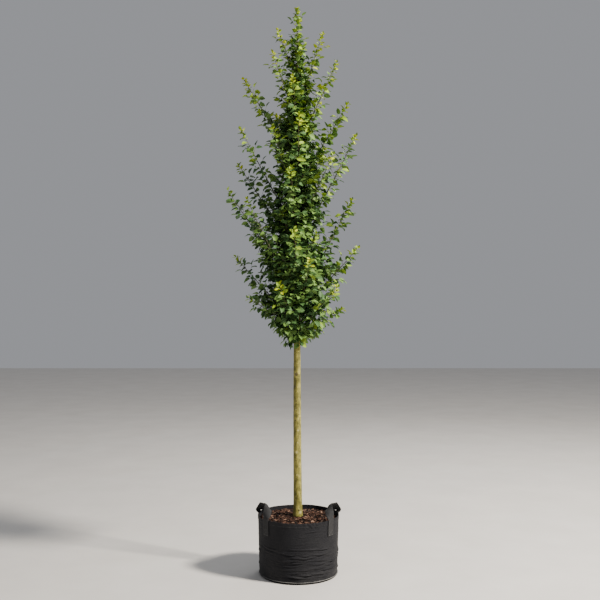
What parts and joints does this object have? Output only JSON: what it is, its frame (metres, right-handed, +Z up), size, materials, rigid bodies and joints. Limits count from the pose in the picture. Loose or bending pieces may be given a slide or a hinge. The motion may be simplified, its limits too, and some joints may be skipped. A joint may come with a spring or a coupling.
{
  "type": "potted columnar beech",
  "caption": "Upright garden tree on a clear straight stem with a slender leafy crown, planted in a round fabric grow bag with two strap handles and a bark mulch top.",
  "frame": {"origin": "centre of the flat underside of the planting bag, on the ground", "axes": "+Z up the trunk, +X towards the right-hand handle, -Y towards the front"},
  "size_m": [0.7648, 0.6323, 3.218],
  "materials": {
    "bag_fabric": "matte",
    "strap_webbing": "matte",
    "bark_mulch": "matte",
    "bark": "matte",
    "leaf": "satin"
  },
  "bodies": {
    "root": {"bag_base": "bag_fabric", "bag_wall": "bag_fabric", "bough_01": "bark", "bough_02": "bark", "bough_03": "bark", "bough_04": "bark", "bough_05": "bark", "bough_06": "bark", "bough_07": "bark", "bough_08": "bark", "bough_09": "bark", "bough_10": "bark", "bough_11": "bark", "bough_12": "bark", "bough_13": "bark", "bough_14": "bark", "bough_15": "bark", "bough_16": "bark", "foliage_01": "leaf", "foliage_02": "leaf", "foliage_03": "leaf", "foliage_04": "leaf", "foliage_05": "leaf", "foliage_06": "leaf", "foliage_07": "leaf", "foliage_08": "leaf", "foliage_09": "leaf", "foliage_10": "leaf", "foliage_11": "leaf", "foliage_12": "leaf", "foliage_13": "leaf", "foliage_14": "leaf", "foliage_15": "leaf", "foliage_16": "leaf", "foliage_17": "leaf", "foliage_18": "leaf", "foliage_19": "leaf", "foliage_20": "leaf", "foliage_21": "leaf", "foliage_22": "leaf", "foliage_23": "leaf", "foliage_24": "leaf", "foliage_25": "leaf", "foliage_26": "leaf", "foliage_27": "leaf", "foliage_28": "leaf", "foliage_29": "leaf", "foliage_30": "leaf", "foliage_31": "leaf", "foliage_32": "leaf", "foliage_33": "leaf", "foliage_34": "leaf", "foliage_35": "leaf", "foliage_36": "leaf", "foliage_top": "leaf", "handle_left": "strap_webbing", "handle_right": "strap_webbing", "soil": "bark_mulch", "trunk": "bark"}
  },
  "joints": []
}
